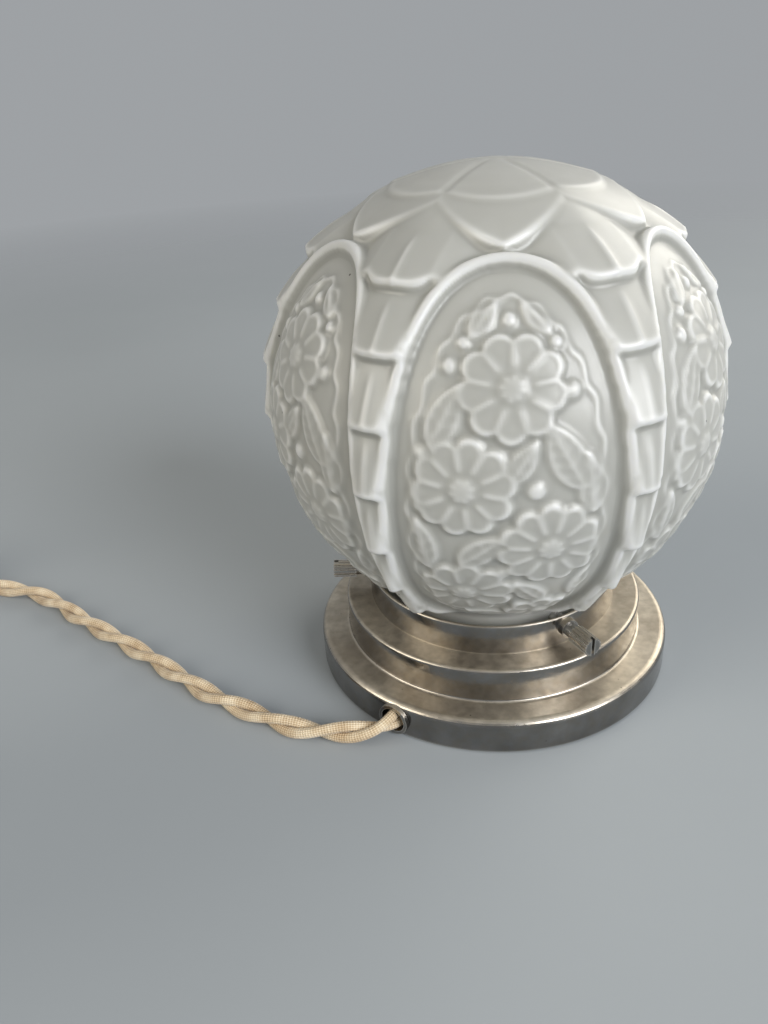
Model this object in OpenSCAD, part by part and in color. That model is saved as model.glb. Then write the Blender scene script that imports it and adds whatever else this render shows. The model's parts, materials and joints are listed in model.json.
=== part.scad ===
// Night light: a moulded frosted glass globe that three thumbscrews hold in a
// gallery on a stepped, plated base. A lampholder and a small bulb stand inside,
// and a twisted textile cord leads to a cord switch and a two-pin plug.
// Millimetres. +Z is up, the origin is the middle of the base on the floor, and
// the front of the lamp faces -Y.

/* [Base] */
// Radius of the lower step
base_r = 53; // [51:0.5:60]
// Height of the lower step above the floor
step1_h = 10.3; // [10:0.1:13]
// Radius of the upper step
step2_r = 44.4; // [42:0.1:47]
// Height of the upper step above the lower one
step2_h = 10.2; // [9:0.1:14]
// Thickness of the spun sheet
sheet_t = 1.2; // [0.9:0.1:1.5]
// Rounding of the lower step's edge
edge1_round = 1.9; // [1:0.1:2.2]
// Rounding of the upper step's edge
edge2_round = 1; // [0.6:0.1:1.6]
// Fillet where the upper step rises from the lower one
corner_fillet = 0.8; // [0.3:0.1:1.5]
// Gap between the sheet's foot and the floor
foot_gap = 0.5; // [0.3:0.1:0.8]
// Thickness of the felt under the base
felt_t = 1.4; // [1:0.1:2]
// Thickness of the bottom plate
plate_t = 0.8; // [0.6:0.1:1.2]

/* [Cord hole] */
// Direction of the cord hole, from +X towards +Y, in degrees
cord_hole_turn = -119; // [-130:1:-110]
// Height of the cord hole's axis above the floor
cord_hole_h = 5.2; // [5.1:0.1:5.6]
// Radius of the bush's bore
bush_bore_r = 3.6; // [3.5:0.05:3.8]
// Wall of the bush
bush_wall = 0.5; // [0.4:0.1:0.7]
// Width of the bush's flange
bush_flange_w = 0.5; // [0.4:0.1:0.7]
// Thickness of the bush's flange
bush_flange_t = 1.2; // [0.8:0.1:1.6]
// How far the bush reaches in past the sheet
bush_tail = 0.8; // [0.5:0.1:1.2]

/* [Gallery] */
// Radius of the gallery cup
gallery_r = 36.9; // [35:0.1:39]
// Height of the gallery cup
gallery_h = 9; // [8.6:0.1:11]
// Direction of the first thumbscrew, from +X towards +Y, in degrees
screw_turn = -56; // [-80:1:-40]
// Depth of the thumbscrews' axes below the gallery's rim
screw_drop = 3.5; // [3.4:0.1:3.9]

/* [Thumbscrews] */
// Radius of a thumbscrew's threaded shank
shank_r = 2; // [1.6:0.1:2.2]
// Wall of the threaded boss round a shank
boss_wall = 0.6; // [0.5:0.1:0.8]
// How far a boss stands out from the gallery
boss_out = 1.8; // [1:0.1:3]
// Bare shank between a boss and a tightened head
shank_bare = 2.4; // [1:0.1:4]
// Radius of a thumbscrew's head
head_r = 2.7; // [2.5:0.1:3.2]
// Length of a thumbscrew's head
head_l = 7; // [6:0.1:9]
// Radius of the flutes round a head
flute_r = 0.35; // [0.2:0.05:0.4]
// Width of the slot across a head
slot_w = 0.9; // [0.6:0.1:1.2]
// Depth of the slot across a head
slot_d = 1.4; // [0.8:0.1:2]
// Radius of the spigot that carries a head
spigot_r = 1.5; // [1.2:0.1:1.7]
// Length of the spigot that carries a head
spigot_l = 3.5; // [2.5:0.1:4]

/* [Shade] */
// Radius of the globe between its raised scales
shade_r = 60.5; // [57:0.5:64]
// Wall of the globe
shade_wall = 4; // [3:0.1:5]
// Gap between the neck's lip and the gallery
lip_gap = 1.7; // [1.4:0.1:2.4]
// Step from the neck out to its lip
lip_w = 2.4; // [1.8:0.1:3]
// Height of the neck's lip
lip_h = 1.7; // [1.2:0.1:1.8]
// Height of the neck from its seat to the globe
neck_h = 8.2; // [7.8:0.1:11]
// Wall of the neck
neck_wall = 3.6; // [3:0.1:4.5]
// How far a scale's lip stands out from the globe
scale_lift = 3.2; // [2:0.1:3.6]
// How far a scale's upper end stands out from the globe
scale_root = 0.9; // [0.4:0.1:1.2]
// Direction of the first column of scales, in degrees
column_turn = -116.6; // [-130:0.2:-90]
// Half the width of an oval panel, in degrees
panel_w = 26.9; // [25.5:0.1:27.3]
// How deep the panels are sunk
panel_sink = 0.9; // [0.6:0.1:1.4]
// How far the rim of a panel stands out from the globe
rim_lift = 1.7; // [1:0.1:2.2]
// Width of the rim of a panel, in degrees
rim_w = 2.8; // [2:0.1:3.2]
// How far the flowers in a panel stand up from its floor
flower_lift = 1.1; // [0.6:0.1:1.8]
// How far the ring of petals stands out from the globe
petal_lift = 0.7; // [0.5:0.1:0.9]
// How far the crown rosette stands out from the globe
crown_lift = 1.1; // [1:0.1:1.6]

/* [Lampholder] */
// Radius of the threaded nipple
nipple_r = 5; // [4.8:0.1:5.2]
// Radius of the nipple's bore
nipple_bore_r = 3.5; // [3.4:0.1:3.8]
// Width across the flats of the nipple's nuts
nut_af = 14; // [13:0.5:18]
// Height of the nipple's nuts
nut_h = 2.6; // [2:0.1:4]
// Radius of the lampholder
holder_r = 13.5; // [13:0.1:15]
// Wall of the lampholder
holder_wall = 1.2; // [0.9:0.1:1.4]
// Height of the collar that screws on to the nipple
collar_h = 8; // [6:0.5:10]
// Height of the terminal space over the collar
terminal_h = 4.5; // [4:0.1:6]
// Height of the lampholder's shell
holder_shell_h = 22; // [20:0.5:26]
// Height of the porcelain core
core_h = 8; // [6:0.5:10]

/* [Bulb] */
// Radius of the bulb's glass
bulb_r = 14; // [12:0.5:16]
// Wall of the bulb's glass
bulb_wall = 0.8; // [0.5:0.1:1.2]
// Height of the bulb's glass from its cap to the middle of its round end
bulb_rise = 20; // [16:0.5:26]
// Radius of the bulb's screw cap
cap_r = 6.9; // [6.5:0.05:7]
// Height of the bulb's screw cap
cap_h = 16; // [14:0.5:18]

/* [Cord] */
// Diameter of the twisted pair
cord_d = 6; // [5.4:0.1:6.2]
// Gap between turns and between layers of the coil
coil_gap = 0.6; // [0.5:0.1:1]
// Radius at the middle of the coil's outer turn
coil_r = 46; // [44:0.5:47.5]
// Width of the tie round the coil
tie_w = 9; // [6:0.5:14]
// Thickness of the tie
tie_t = 0.8; // [0.6:0.1:0.9]

/* [Cord switch] */
// Length of the switch
switch_l = 58; // [54:1:60]
// Width of the switch
switch_w = 22; // [20:0.5:24]
// Height of the switch
switch_h = 17; // [16.5:0.5:20]
// Wall of the switch
switch_wall = 2.2; // [1.8:0.1:2.6]
// Radius of the bar that slides through the switch
bar_r = 2.5; // [2:0.1:2.6]
// Travel of the bar
bar_travel = 5; // [4:0.1:5.4]
// Length of the bar that shows at its outer end
bar_out = 5.8; // [5.6:0.1:7]

/* [Plug] */
// Length of the plug's body
plug_l = 34; // [30:1:40]
// Width of the plug's body
plug_w = 32; // [30:0.5:36]
// Height of the plug's body
plug_h = 16; // [15:0.5:20]
// Radius of a plug pin
pin_r = 2; // [1.9:0.05:2.4]
// Length of a plug pin outside the body
pin_l = 19; // [17:0.5:20]
// Distance between the plug pins
pin_pitch = 19; // [18:0.5:20]

/* [Hidden] */
$fn = 96;
// Clearance of one solid in another on the same body
seat_gap = 0.05;
// Clearance round a shaft that turns or slides
run_gap = 0.05;
// Clearance between a thumbscrew's tip and the glass
tip_gap = 0.15;
// Clearance between the coil and the tie, beside and under the cord
tie_gap = 0.8;
tie_lift = 0.2;
// Overlap that makes cuts pass through
eps = 0.01;

// Heights of the stack on the base
base_top = step1_h + step2_h;
seat_z = base_top + sheet_t;
rim_z = base_top + gallery_h;
screw_z = rim_z - screw_drop;
plate_z = felt_t + plate_t;
nipple_tail = 1.6;
nipple_z = base_top - sheet_t - nut_h - nipple_tail;
holder_z = seat_z + nut_h;
terminal_z = holder_z + collar_h;
core_z = terminal_z + terminal_h;
cap_rim_h = 1.5;
shell_z = core_z + cap_rim_h;
core_top = core_z + core_h;

// Radii of the neck and the thumbscrews' stations along their axes
lip_r = gallery_r - sheet_t - lip_gap;
neck_r = lip_r - lip_w;
neck_bore_r = neck_r - neck_wall;
boss_r = shank_r + run_gap + boss_wall;
boss_in = 0.7;
boss_start = gallery_r - sheet_t - boss_in;
boss_end = gallery_r + boss_out;
tip_start = neck_r + tip_gap;
head_start = boss_end + shank_bare;
screw_count = 3;
flute_count = 16;

// The globe
globe_z = seat_z + neck_h + sqrt(shade_r * shade_r - neck_r * neck_r);
column_count = 6;
scale_count = 7;
scale_step = 14.6;
scale_top = 54.9;
scale_arc = 3;
petal_edge = scale_top;
crown_edge = 64;

// The oval panels between the columns: their widest place, their reach up and down from it, and the
// angle round the oval at which it is cut off level, all in degrees
panel_mid = -7.4;
panel_up = 56.1;
panel_down = 53.9;
panel_foot = -52;
panel_sides = 24;
// How far a rim and a flower reach into the glass under a panel's floor
panel_root = 0.6;
// Flowers in a panel: degrees across and up from its middle on the equator, and radius in degrees
flowers = [[0.9, 21.8, 11], [-9.3, 0.9, 11], [9.7, -14.4, 11.4], [-8.9, -30.6, 11.2], [9.3, -43.6, 8]];
// Section of a flower from its heart to its edge: share of its radius and share of its height
flower_shape = [[0, 1.1], [0.3, 0.7], [0.85, 0.95], [1, 0]];

// The bush in the lower step
bush_r = bush_bore_r + bush_wall;
flange_r = bush_r + bush_flange_w;

// The bulb in its holder
screw_shell_r = cap_r + 0.25;
screw_shell_t = 0.5;
screw_shell_h = 14;
contact_h = 2.2;
bulb_z = core_top + contact_h;
tip_h = 1.5;
insulator_h = 2;
cap_z = bulb_z + tip_h + insulator_h;
glass_z = cap_z + cap_h;
bulb_neck_r = cap_r - 0.6;
stem_r = 2.6;
stem_h = 12;
support_r = 0.4;
support_h = 10;
support_pitch = 9;

// The cord's hand-laid routes, from the cord hole to the switch, from the switch
// to the coil and from the coil to the plug
cord_r = cord_d / 2;
lead_route = [
    [-20.8, -40.7, 5.2], [-24.6, -45.3, 5.2], [-25.9, -46.8, 5.2], [-28.2, -48.9, 5],
    [-31, -50.4, 4.7], [-34, -51, 4.3], [-39, -51.3, 3.8], [-46, -50.8, 3.3], [-54, -49.3, 3],
    [-66.5, -44.2, 3], [-79, -38.5, 3], [-92.5, -30, 3], [-107.5, -20, 3], [-123.5, -10, 3],
    [-136, -2.5, 3], [-147, 5, 3], [-157, 11, 3], [-166, 14.2, 3], [-175, 16, 3],
    [-184, 16.6, 3.6], [-191, 16.4, 5.6], [-197, 16, 7.5], [-205, 16, 7.5]
];
link_route = [
    [-255, 16, 7.5], [-262, 16, 7.5], [-269.5, 14, 6.3], [-276, 9, 4.9], [-280, 2, 4.1],
    [-281, -7, 4], [-281, -20, 4], [-281, -34, 4], [-281, -45, 4]
];
tail_route = [[-229, -97, 10.6], [-223, -97, 10.6], [-215, -97, 9.5], [-207, -97, 8], [-198, -97, 8]];

// The coil: in at the bottom layer, out again at the top layer
coil_pos = [-235, -51];
coil_z = cord_r + tie_lift + tie_t;
coil_turns = 6.25;
coil_rings = 24;
coil_start = 180;
coil_step = cord_d + coil_gap;
coil_mid = coil_turns / 2;
coil_inner = coil_r - coil_step * coil_mid;
tie_turn = 225;

// The switch and the plug stand where the cord's routes end
switch_pos = [-230, 16];
switch_split = 7.5;
switch_cord_z = 7.5;
switch_end = 8;
switch_floor = 3.5;
switch_roof = switch_h - switch_wall;
bridge_r = bar_r + 0.9;
bridge_w = 4;
contact_gap = 0.3;
bar_z = switch_roof - bridge_r - contact_gap;
entry_gap = 0.2;
plug_pos = [-202, -97];
plug_nose_r = 7;
plug_corner = 4;

// Points on an arc about [cx, cy]
function arc(cx, cy, r, from, to, steps = 6) =
    [for (i = [0 : steps]) let (a = from + (to - from) * i / steps) [cx + r * cos(a), cy + r * sin(a)]];

// A point on the globe's section at a latitude and a height over its surface
function on_globe(lat, lift) = [(shade_r + lift) * cos(lat), globe_z + (shade_r + lift) * sin(lat)];

function unit(v) = v / norm(v);

// Direction of travel at point i of a route
function heading(p, i) = unit(p[min(i + 1, len(p) - 1)] - p[max(i - 1, 0)]);

// One round ring square to the heading, with its first corner turned from a reference direction
function ring(centre, along, r, sides, aside) =
    let (side = unit(cross(along, aside)), top = cross(side, along))
    [for (k = [0 : sides - 1]) centre + r * (cos(360 * k / sides) * side + sin(360 * k / sides) * top)];

// A closed tube swept along a route
module tube(route, r, sides, aside = [0, 0, 1]) {
    rings = len(route);
    points = [for (i = [0 : rings - 1]) each ring(route[i], heading(route, i), r, sides, aside)];
    last = (rings - 1) * sides;
    walls = [
        for (i = [0 : rings - 2], k = [0 : sides - 1])
            let (a = i * sides + k, b = i * sides + (k + 1) % sides)
            each [[a, b, a + sides], [b, b + sides, a + sides]]
    ];
    start_cap = [for (k = [1 : sides - 2]) [0, k + 1, k]];
    end_cap = [for (k = [1 : sides - 2]) [last, last + k, last + k + 1]];
    polyhedron(points = points, faces = concat(walls, start_cap, end_cap), convexity = 10);
}

// Children drawn along +Z lie along the cord hole's axis, from the lamp's axis outwards
module along_cord_hole() {
    rotate([0, 0, cord_hole_turn])
        translate([0, 0, cord_hole_h])
            rotate([0, 90, 0])
                children();
}

// Children drawn along +Z lie along a thumbscrew's axis, from the lamp's axis outwards
module along_screw(i) {
    rotate([0, 0, screw_turn + 360 / screw_count * i])
        translate([0, 0, screw_z])
            rotate([0, 90, 0])
                children();
}

module pipe(outer, inner, h) {
    difference() {
        cylinder(r = outer, h = h);
        translate([0, 0, -eps])
            cylinder(r = inner, h = h + 2 * eps);
    }
}

module felt_pad() {
    color("darkolivegreen")
        difference() {
            cylinder(r = base_r - sheet_t - seat_gap, h = felt_t);
            along_cord_hole()
                cylinder(r = bush_r + seat_gap, h = base_r);
        }
}

module bottom_plate() {
    color("dimgray")
        difference() {
            translate([0, 0, felt_t])
                cylinder(r = base_r - sheet_t - seat_gap, h = plate_t);
            along_cord_hole()
                cylinder(r = bush_r + seat_gap, h = base_r);
        }
}

// Outer line of the spun base from its foot to its top
function base_outline() = concat(
    [[base_r, foot_gap]],
    arc(base_r - edge1_round, step1_h - edge1_round, edge1_round, 0, 90),
    arc(step2_r + corner_fillet, step1_h + corner_fillet, corner_fillet, 270, 180),
    arc(step2_r - edge2_round, base_top - edge2_round, edge2_round, 0, 90)
);

module base_shell() {
    hole_r = nipple_r + seat_gap;
    inside = [
        [hole_r, base_top], [hole_r, base_top - sheet_t],
        [step2_r - sheet_t, base_top - sheet_t], [step2_r - sheet_t, step1_h - sheet_t],
        [base_r - sheet_t, step1_h - sheet_t], [base_r - sheet_t, foot_gap]
    ];
    color("silver")
        difference() {
            rotate_extrude()
                polygon(concat(base_outline(), inside));
            along_cord_hole()
                translate([0, 0, base_r / 2])
                    cylinder(r = bush_r + seat_gap, h = base_r);
        }
}

module cord_bush() {
    color("silver")
        along_cord_hole() {
            translate([0, 0, base_r - sheet_t - bush_tail])
                pipe(bush_r, bush_bore_r, sheet_t + bush_tail + bush_flange_t);
            translate([0, 0, base_r])
                pipe(flange_r, bush_r - eps, bush_flange_t);
        }
}

module gallery_cup() {
    rim_round = sheet_t / 2;
    wall_mid = gallery_r - rim_round;
    outline = concat(
        [[nipple_r + seat_gap, base_top], [gallery_r, base_top]],
        arc(wall_mid, rim_z - rim_round, rim_round, 0, 180),
        [[gallery_r - sheet_t, seat_z], [nipple_r + seat_gap, seat_z]]
    );
    color("silver")
        difference() {
            rotate_extrude()
                polygon(outline);
            for (i = [0 : screw_count - 1])
                along_screw(i)
                    translate([0, 0, gallery_r / 2])
                        cylinder(r = boss_r + seat_gap, h = gallery_r);
        }
}

module screw_bosses() {
    color("silver")
        for (i = [0 : screw_count - 1])
            along_screw(i)
                translate([0, 0, boss_start])
                    pipe(boss_r, shank_r + run_gap, boss_end - boss_start);
}

module thumbscrew_shank(i) {
    color("gray")
        along_screw(i) {
            translate([0, 0, tip_start])
                cylinder(r = shank_r, h = head_start - tip_start);
            translate([0, 0, tip_start])
                cylinder(r = spigot_r, h = head_start + spigot_l - tip_start);
        }
}

module thumbscrew_head(i) {
    color("gray")
        along_screw(i)
            translate([0, 0, head_start + run_gap])
                difference() {
                    cylinder(r = head_r, h = head_l);
                    translate([0, 0, -eps])
                        cylinder(r = spigot_r + run_gap, h = spigot_l + 2 * run_gap);
                    for (k = [0 : flute_count - 1])
                        rotate([0, 0, 360 / flute_count * k])
                            translate([head_r, 0, -eps])
                                cylinder(r = flute_r, h = head_l + 2 * eps);
                    translate([-head_r * 2, -slot_w / 2, head_l - slot_d])
                        cube([head_r * 4, slot_w, slot_d * 2]);
                }
}

// Section of the rings of overlapping scales, each rising to a lip at its lower end
function scale_line() = [
    for (i = [0 : scale_count - 1], k = [0 : scale_arc])
        on_globe(
            scale_top - scale_step * (i + k / scale_arc),
            scale_root + (scale_lift - scale_root) * k / scale_arc
        )
];

// Scales all round the globe, of which the panels leave six columns
module scale_rings() {
    foot = scale_top - scale_step * scale_count;
    backing = [
        for (i = [0 : 12])
            on_globe(foot + (scale_top - foot) * i / 12, -shade_wall / 2)
    ];
    rotate_extrude()
        polygon(concat(scale_line(), backing));
}

// Longitude and latitude at an angle round a panel's oval, which may be grown by some degrees
function panel_place(a, grow) =
    let (lat = panel_mid + ((sin(a) > 0 ? panel_up : panel_down) + grow) * sin(a))
    [(panel_w + grow) * cos(a) / cos(lat), lat];

// The same place seen along the panel's axis
function panel_point(a, grow) =
    let (p = panel_place(a, grow))
    shade_r * [cos(p[1]) * sin(p[0]), sin(p[1])];

// A bar along +X with a panel's outline
module panel_bar(grow) {
    rotate([90, 0, 90])
        linear_extrude(height = 2 * shade_r)
            polygon([
                for (i = [0 : panel_sides])
                    panel_point(panel_foot + (180 - 2 * panel_foot) * i / panel_sides, grow)
            ]);
}

// What is taken off the globe over a panel's floor
module panel_cut() {
    difference() {
        panel_bar(0);
        sphere(r = shade_r - panel_sink);
    }
}

module panel_rim() {
    intersection() {
        difference() {
            panel_bar(rim_w / 2);
            panel_bar(-rim_w / 2);
        }
        difference() {
            sphere(r = shade_r + rim_lift);
            sphere(r = shade_r - panel_sink - panel_root);
        }
    }
}

// Section of a flower of a radius in degrees, with its middle on the Z axis
function flower_line(r) =
    let (floor_r = shade_r - panel_sink)
    concat(
        [for (p = flower_shape) (floor_r + flower_lift * p[1]) * [sin(p[0] * r), cos(p[0] * r)]],
        [for (s = [1, 0]) (floor_r - panel_root) * [sin(s * r), cos(s * r)]]
    );

module panel_flowers() {
    for (f = flowers)
        rotate([0, 90 - f[1], f[0] / cos(f[1])])
            rotate_extrude()
                polygon(flower_line(f[2]));
}

// The children on each panel's axis, from the globe's middle
module on_panels() {
    for (i = [0 : column_count - 1])
        translate([0, 0, globe_z])
            rotate([0, 0, column_turn + 360 / column_count * (i + 0.5)])
                children();
}

// The part of a larger ball above a latitude
module ball_cap(lift, lat) {
    edge_z = on_globe(lat, lift)[1];
    intersection() {
        translate([0, 0, globe_z])
            sphere(r = shade_r + lift);
        translate([0, 0, edge_z])
            cylinder(r = shade_r * 2, h = shade_r * 2);
    }
}

module glass_shade() {
    color("ghostwhite")
        difference() {
            union() {
                difference() {
                    union() {
                        translate([0, 0, globe_z])
                            sphere(r = shade_r);
                        ball_cap(petal_lift, petal_edge);
                        ball_cap(crown_lift, crown_edge);
                        scale_rings();
                    }
                    on_panels()
                        panel_cut();
                }
                on_panels()
                    panel_rim();
                on_panels()
                    panel_flowers();
                translate([0, 0, seat_z])
                    cylinder(r = neck_r, h = globe_z - seat_z);
                translate([0, 0, seat_z])
                    cylinder(r = lip_r, h = lip_h);
            }
            translate([0, 0, globe_z])
                sphere(r = shade_r - shade_wall);
            translate([0, 0, globe_z - 2 * shade_r])
                cylinder(r = neck_bore_r, h = 2 * shade_r);
        }
}

module nipple() {
    color("goldenrod")
        translate([0, 0, nipple_z])
            pipe(nipple_r, nipple_bore_r, terminal_z - nipple_z);
}

module nut() {
    difference() {
        cylinder(d = nut_af / cos(30), h = nut_h, $fn = 6);
        translate([0, 0, -eps])
            cylinder(r = nipple_r + seat_gap, h = nut_h + 2 * eps);
    }
}

module nipple_nuts() {
    color("goldenrod") {
        translate([0, 0, base_top - sheet_t - nut_h])
            nut();
        translate([0, 0, seat_z])
            nut();
    }
}

module holder_cap() {
    collar_r = nipple_r + 2.5;
    flare_h = 3;
    ledge_r = holder_r - holder_wall - 1.8;
    color("darkgoldenrod")
        rotate_extrude()
            polygon([
                [nipple_r + seat_gap, holder_z], [collar_r, holder_z],
                [collar_r, terminal_z - flare_h], [holder_r, terminal_z],
                [holder_r, shell_z], [holder_r - holder_wall, shell_z],
                [holder_r - holder_wall, core_z], [ledge_r, core_z],
                [ledge_r, terminal_z], [nipple_r + seat_gap, terminal_z]
            ]);
}

module holder_shell() {
    mouth_r = screw_shell_r + 2;
    color("darkgoldenrod")
        translate([0, 0, shell_z])
            rotate_extrude()
                polygon([
                    [holder_r - holder_wall, 0], [holder_r, 0],
                    [holder_r, holder_shell_h], [mouth_r, holder_shell_h],
                    [mouth_r, holder_shell_h - holder_wall],
                    [holder_r - holder_wall, holder_shell_h - holder_wall]
                ]);
}

// Places of the two terminals about the holder's axis
terminal_x = 7;
terminal_r = 1.2;
terminal_head_r = 2;
terminal_head_h = 1.8;
terminal_l = 5;

module holder_core() {
    color("whitesmoke")
        difference() {
            translate([0, 0, core_z])
                cylinder(r = holder_r - holder_wall - seat_gap, h = core_h);
            for (x = [-terminal_x, terminal_x])
                translate([x, 0, core_z - eps])
                    cylinder(r = terminal_r + seat_gap, h = terminal_l + eps);
        }
}

module terminal_screws() {
    color("goldenrod")
        for (x = [-terminal_x, terminal_x])
            translate([x, 0, core_z]) {
                translate([0, 0, -terminal_head_h])
                    cylinder(r = terminal_head_r, h = terminal_head_h);
                translate([0, 0, -eps])
                    cylinder(r = terminal_r, h = terminal_l);
            }
}

module screw_shell() {
    flange_w = 2;
    outer = screw_shell_r + screw_shell_t;
    color("gold")
        translate([0, 0, core_top]) {
            pipe(outer, screw_shell_r, screw_shell_h);
            pipe(outer + flange_w, screw_shell_r, screw_shell_t);
        }
}

module centre_contact() {
    plate_r = 2.6;
    color("gold")
        translate([0, 0, core_top]) {
            cylinder(r = plate_r, h = screw_shell_t);
            cylinder(r = plate_r / 2, h = contact_h);
        }
}

// The two insulated leads part at the cord's inner end, climb the nipple and end at the terminals
module inner_leads() {
    lead_r = cord_d / 4 - 0.1;
    apart = 1.6;
    lead_end = terminal_x - terminal_head_r - 0.2;
    end_z = core_z - lead_r - 0.1;
    color("burlywood")
        for (s = [-1, 1])
            tube([
                [-20.6 + 1.2 * s, -40.5 - s, cord_hole_h], [-17 + 1.2 * s, -36 - s, cord_hole_h + 0.2],
                [-11 + 1.4 * s, -25 - 0.6 * s, cord_hole_h + 1.3], [-5 + apart * s, -12, cord_hole_h + 2.8],
                [-1.5 + apart * s, -3.5, nipple_z - 4.1], [apart * s, 0, nipple_z],
                [apart * s, 0, base_top], [apart * s, 0, holder_z], [apart * s, 0, terminal_z],
                [2.2 * s, 0, terminal_z + 1.6], [(lead_end - 1.6) * s, 0, end_z], [lead_end * s, 0, end_z]
            ], lead_r, 8, [0, 1, 0]);
}

module bulb_contact() {
    color("silver")
        translate([0, 0, bulb_z])
            cylinder(r1 = 1.6, r2 = 2.4, h = tip_h);
}

module bulb_insulator() {
    color("black")
        translate([0, 0, bulb_z + tip_h])
            cylinder(r1 = 2.6, r2 = cap_r - 1, h = insulator_h);
}

module bulb_cap() {
    turns = 5;
    thread_d = 0.7;
    thread_h = cap_h * 0.7;
    wall = 0.5;
    // Crests and roots of the rolled thread, from its foot upwards
    thread = [
        for (i = [0 : turns * 2])
            [cap_r - (i % 2 == 0 ? thread_d : 0), thread_h * i / (turns * 2)]
    ];
    inner_r = cap_r - thread_d - wall;
    color("silver")
        translate([0, 0, cap_z])
            rotate_extrude()
                polygon(concat(
                    thread, [[cap_r, cap_h]], [[inner_r, cap_h], [inner_r, wall], [0, wall], [0, 0]]
                ));
}

// Outer line of the bulb from its neck to the top of its round end
function bulb_line(inset) =
    let (r = bulb_r - inset, neck = bulb_neck_r - inset, neck_end = 4, join = 30)
    concat(
        [[neck, 0], [neck, neck_end]],
        arc(0, bulb_rise, r, -join, 90, 12)
    );

module bulb_glass() {
    color("azure")
        translate([0, 0, glass_z])
            difference() {
                rotate_extrude()
                    polygon(concat(bulb_line(0), [[0, 0]]));
                translate([0, 0, -eps])
                    rotate_extrude()
                        polygon(concat(bulb_line(bulb_wall), [[0, 0]]));
            }
}

module bulb_stem() {
    flare_h = 3;
    color("lightcyan")
        translate([0, 0, glass_z]) {
            cylinder(r1 = bulb_neck_r - bulb_wall - seat_gap, r2 = stem_r, h = flare_h);
            cylinder(r = stem_r, h = stem_h);
            for (x = [-support_pitch / 2, support_pitch / 2])
                translate([x, 0, stem_h])
                    cylinder(r = support_r, h = support_h);
            translate([-support_pitch / 2 - support_r, -support_r, stem_h - 2 * support_r])
                cube([support_pitch + 2 * support_r, 2 * support_r, 2 * support_r]);
        }
}

module filament() {
    wire_r = 0.3;
    color("dimgray")
        translate([0, 0, glass_z + stem_h + support_h])
            rotate([90, 0, 0])
                rotate_extrude(angle = 180)
                    translate([support_pitch / 2, 0])
                        circle(r = wire_r);
}

module cord_lead() {
    color("burlywood")
        tube(lead_route, cord_r, 10);
}

module cord_link() {
    color("burlywood")
        tube(link_route, cord_r, 10);
}

module cord_tail() {
    color("burlywood")
        tube(tail_route, cord_r, 10);
}

// Smooth climb from 0 to 1
function climb(t) = let (u = min(1, max(0, t))) u * u * (3 - 2 * u);

// A point of the coil after a number of turns
function coil_point(turns) =
    let (
        a = coil_start + 360 * turns,
        r = coil_inner + coil_step * abs(turns - coil_mid),
        z = coil_z + coil_step * climb(2 * (turns - coil_mid) + 0.5)
    )
    [coil_pos[0] + r * cos(a), coil_pos[1] + r * sin(a), z];

// The coil's middle line, with a straight run of one diameter at each end
coil_count = coil_turns * coil_rings;
coil_line = concat(
    [coil_point(0) + [0, cord_d, 0]],
    [for (i = [0 : coil_count]) coil_point(i / coil_rings)],
    [coil_point(coil_turns) + [cord_d, 0, 0]]
);

// Least gap between stretches of the coil that lie a half turn or more apart
coil_least_gap = min([
    for (i = [0 : len(coil_line) - 1], j = [i + coil_rings / 2 : len(coil_line) - 1])
        norm(coil_line[i] - coil_line[j])
]) - cord_d;
echo(coil_least_gap = coil_least_gap);

module cord_coil() {
    color("burlywood")
        tube(coil_line, cord_r, 6);
}

module cord_tie() {
    room = cord_r + tie_gap;
    lift = cord_r + tie_lift;
    turns_here = (tie_turn - coil_start) / 360;
    outer_turn = coil_r - coil_step * turns_here;
    inner_turn = outer_turn - coil_step * floor(coil_mid - turns_here);
    width = outer_turn - inner_turn + 2 * room;
    height = coil_step + 2 * lift;
    bottom = coil_z - lift;
    color("black")
        translate([coil_pos[0], coil_pos[1], 0])
            rotate([0, 0, tie_turn])
                translate([inner_turn - room, tie_w / 2, bottom])
                    rotate([90, 0, 0])
                        linear_extrude(tie_w)
                            difference() {
                                translate([-tie_t, -tie_t])
                                    square([width + 2 * tie_t, height + 2 * tie_t]);
                                square([width, height]);
                            }
}

// Outline with round ends, along X
module long_round(l, w) {
    square([l - w, w], center = true);
    for (s = [-1, 1])
        translate([s * (l - w) / 2, 0])
            circle(d = w);
}

// Holes at both ends of the switch where the cord goes in
module switch_entries() {
    for (s = [-1, 1])
        translate([s * switch_l / 2, 0, switch_cord_z])
            rotate([0, 90, 0])
                cylinder(r = cord_r + entry_gap, h = 2 * (switch_end + eps), center = true);
}

switch_screw_x = 16;
switch_screw_r = 1.4;
switch_screw_head_r = 2.6;
switch_screw_head_h = 1.6;

module at_switch() {
    translate([switch_pos[0], switch_pos[1], 0])
        children();
}

module switch_base() {
    color("saddlebrown")
        at_switch()
            difference() {
                linear_extrude(switch_split)
                    long_round(switch_l, switch_w);
                translate([0, 0, switch_floor])
                    linear_extrude(switch_h)
                        long_round(switch_l - 2 * switch_end, switch_w - 2 * switch_wall);
                switch_entries();
                for (s = [-1, 1])
                    translate([s * switch_screw_x, 0, -eps]) {
                        cylinder(r = switch_screw_r + seat_gap, h = switch_h);
                        cylinder(r = switch_screw_head_r + seat_gap, h = switch_screw_head_h + 2 * eps);
                    }
            }
}

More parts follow.
